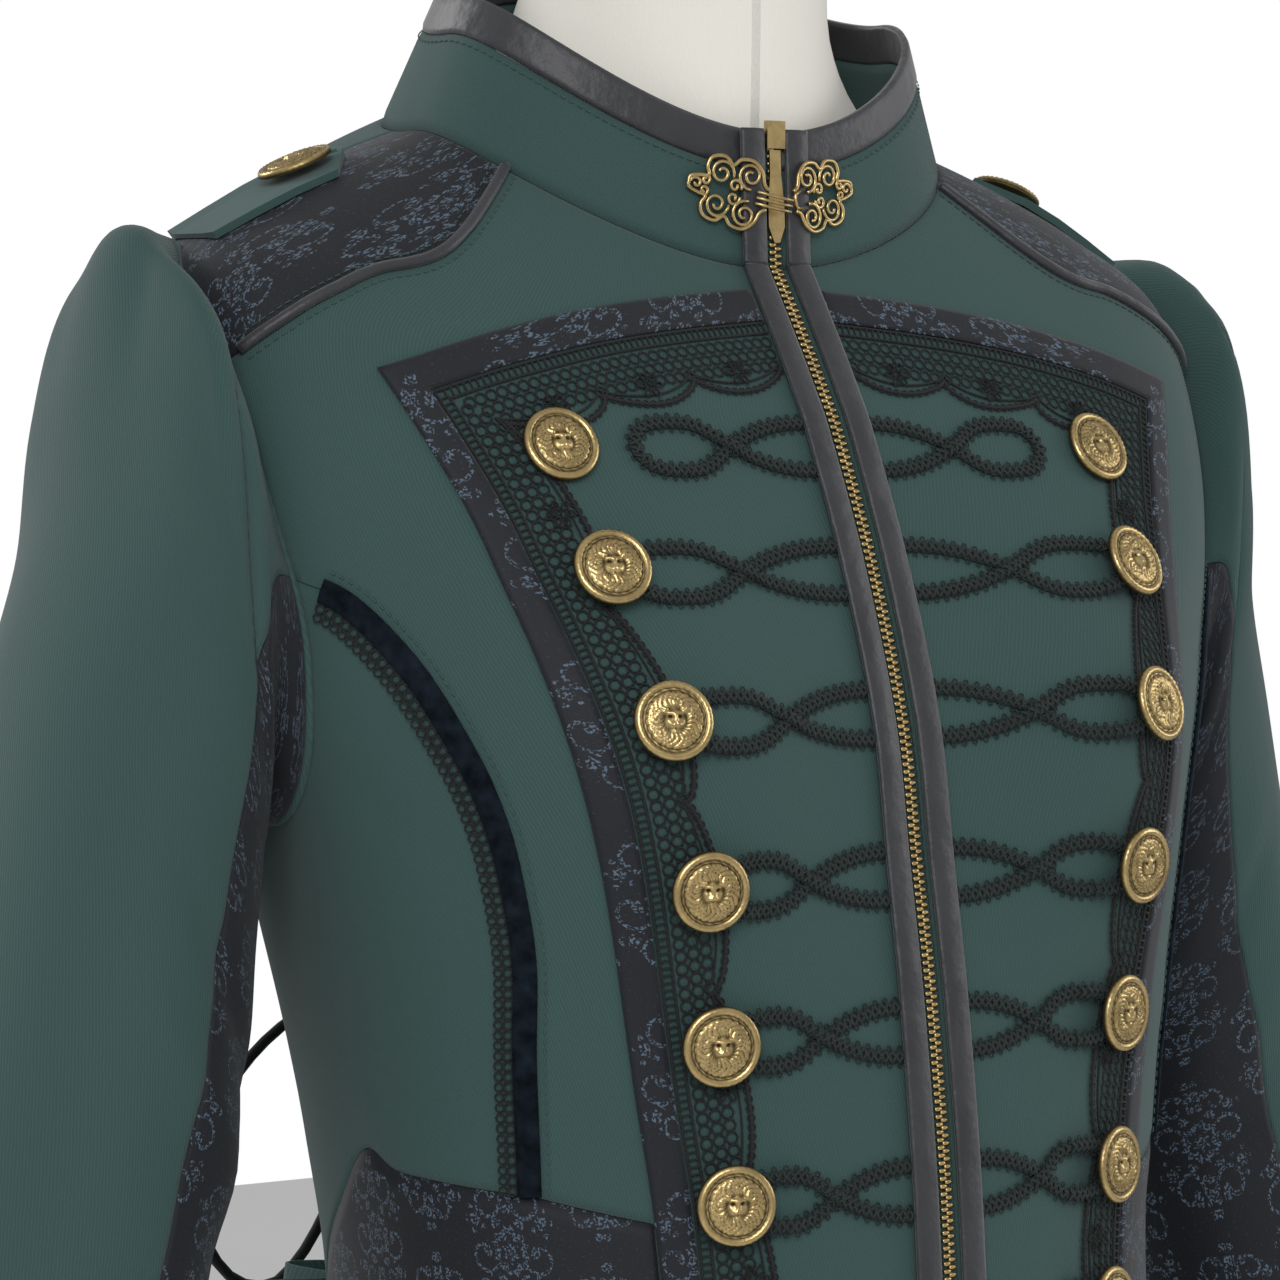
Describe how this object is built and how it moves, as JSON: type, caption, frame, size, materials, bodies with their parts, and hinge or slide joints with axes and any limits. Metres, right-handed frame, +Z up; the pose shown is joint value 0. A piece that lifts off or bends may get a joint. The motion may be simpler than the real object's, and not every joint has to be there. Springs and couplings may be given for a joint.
{
  "type": "long jacket on a dress form",
  "caption": "Long fitted military-style jacket with braid frogs, lace, patterned panels and a pleated, laced back, on a limbless dress form with a round stand.",
  "frame": {"origin": "centre of the underside of the stand's base", "axes": "+Z up, the jacket's front faces -Y, +X towards the wearer's left"},
  "size_m": [0.6926, 0.4328, 1.528],
  "materials": {
    "green_twill": "fine twill",
    "brocade": "damask weave",
    "satin": "satin",
    "velvet": "velvet",
    "black_lace": "lace and cord",
    "braid": "plaited braid",
    "linen": "plain linen",
    "antique_brass": "aged",
    "stand_metal": "brushed"
  },
  "bodies": {
    "jacket_and_form": {"front_left": "green_twill", "front_right": "green_twill", "side_left": "green_twill", "side_right": "green_twill", "upper_sleeve_left": "green_twill", "upper_sleeve_right": "green_twill", "epaulette_left": "green_twill", "epaulette_right": "green_twill", "yoke_left": "brocade", "yoke_right": "brocade", "hip_left": "brocade", "hip_right": "brocade", "under_sleeve_left": "brocade", "under_sleeve_right": "brocade", "border_left": "brocade", "border_right": "brocade", "zip_strip_left": "satin", "zip_strip_right": "satin", "piping_left": "satin", "piping_right": "satin", "princess_trim_left": "velvet", "princess_trim_right": "velvet", "lace_left": "black_lace", "lace_right": "black_lace", "bow_cord_left": "black_lace", "bow_cord_right": "black_lace", "frogs_left": "braid", "frogs_right": "braid", "clasp_left": "antique_brass", "clasp_right": "antique_brass", "strap_button_left": "antique_brass", "strap_button_right": "antique_brass", "button_left_1": "antique_brass", "button_right_1": "antique_brass", "button_left_2": "antique_brass", "button_right_2": "antique_brass", "button_left_3": "antique_brass", "button_right_3": "antique_brass", "button_left_4": "antique_brass", "button_right_4": "antique_brass", "button_left_5": "antique_brass", "button_right_5": "antique_brass", "button_left_6": "antique_brass", "button_right_6": "antique_brass", "button_left_7": "antique_brass", "button_right_7": "antique_brass", "back": "green_twill", "back_skirt": "green_twill", "collar": "green_twill", "collar_binding": "satin", "lacing_under": "black_lace", "lacing_over": "black_lace", "lacing_knot": "black_lace", "zip_chain": "antique_brass", "zip_slider": "antique_brass", "dress_form": "linen", "form_stand": "stand_metal"},
    "zip_pull": {"zip_pull": "antique_brass"}
  },
  "joints": [
    {"name": "zip_pull_hinge", "type": "hinge", "parent": "jacket_and_form", "child": "zip_pull", "pos_m": [0, -0.0173, 1.3957], "axis": [1, 0, 0], "range_deg": [-5, 0]}
  ]
}
